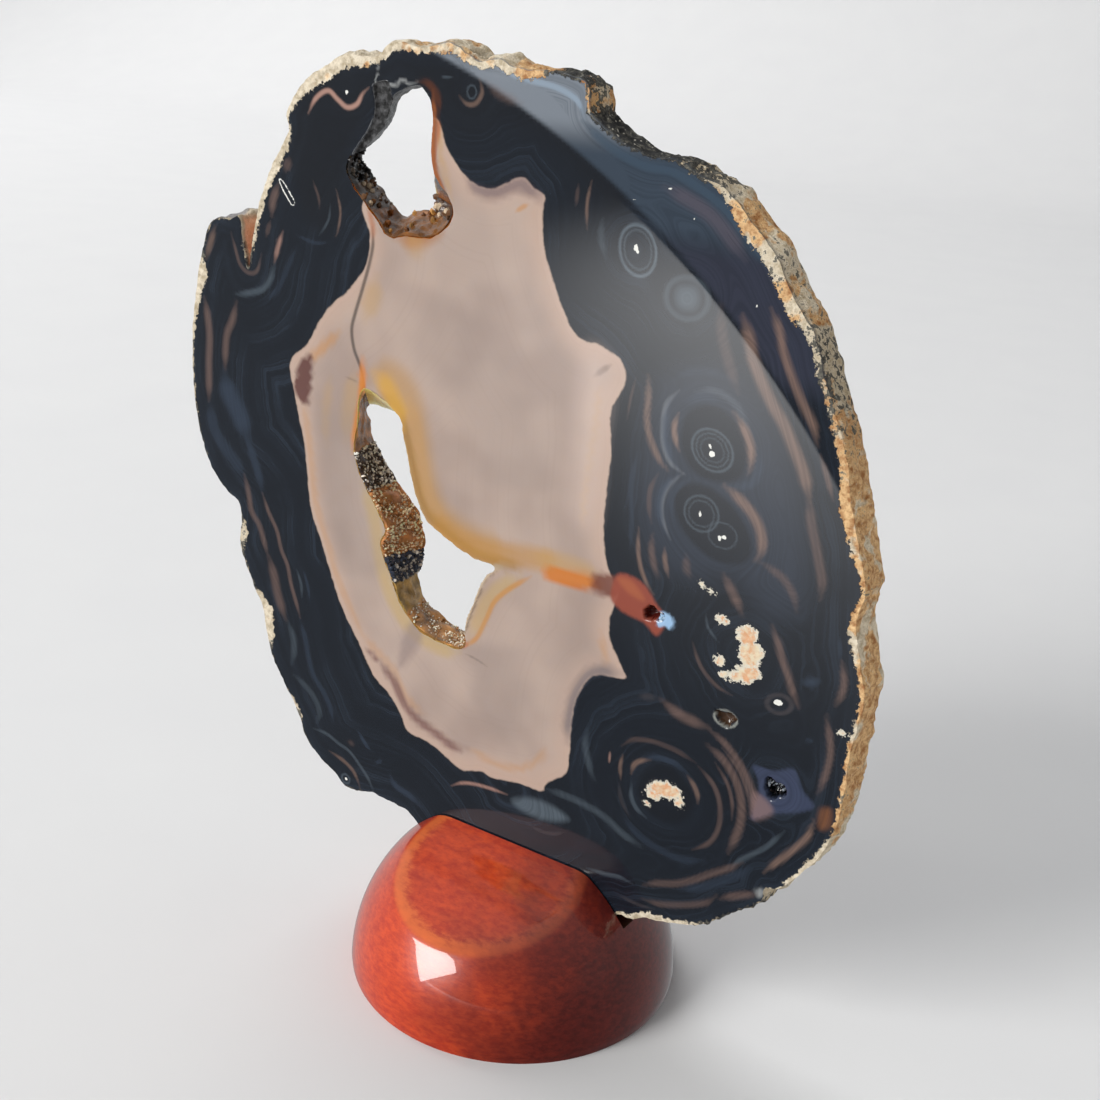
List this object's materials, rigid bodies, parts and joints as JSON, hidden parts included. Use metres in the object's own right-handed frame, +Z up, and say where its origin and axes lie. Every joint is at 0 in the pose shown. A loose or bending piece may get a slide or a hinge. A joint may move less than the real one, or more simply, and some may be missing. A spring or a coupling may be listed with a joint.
{
  "type": "agate slice on a wooden stand",
  "caption": "Banded agate slice with a pale translucent middle and crystal-lined hollows, standing in the slot of a turned wooden half ball.",
  "frame": {"origin": "centre of the wooden half ball's flat base", "axes": "+Z up, the slot and the slice's width along X, the polished front face looks along -Y"},
  "size_m": [0.129, 0.056, 0.1496],
  "materials": {
    "polished_agate": "polished face, rough cream rind",
    "brown_quartz": "glassy crystal faces",
    "sparkling_quartz": "small sparkling crystals",
    "varnished_wood": "glossy varnish on red-brown stain"
  },
  "bodies": {
    "root": {"agate_slice": "polished_agate", "upper_hollow_crystals": "brown_quartz", "middle_hollow_crystals": "sparkling_quartz", "wooden_stand": "varnished_wood"}
  },
  "joints": []
}
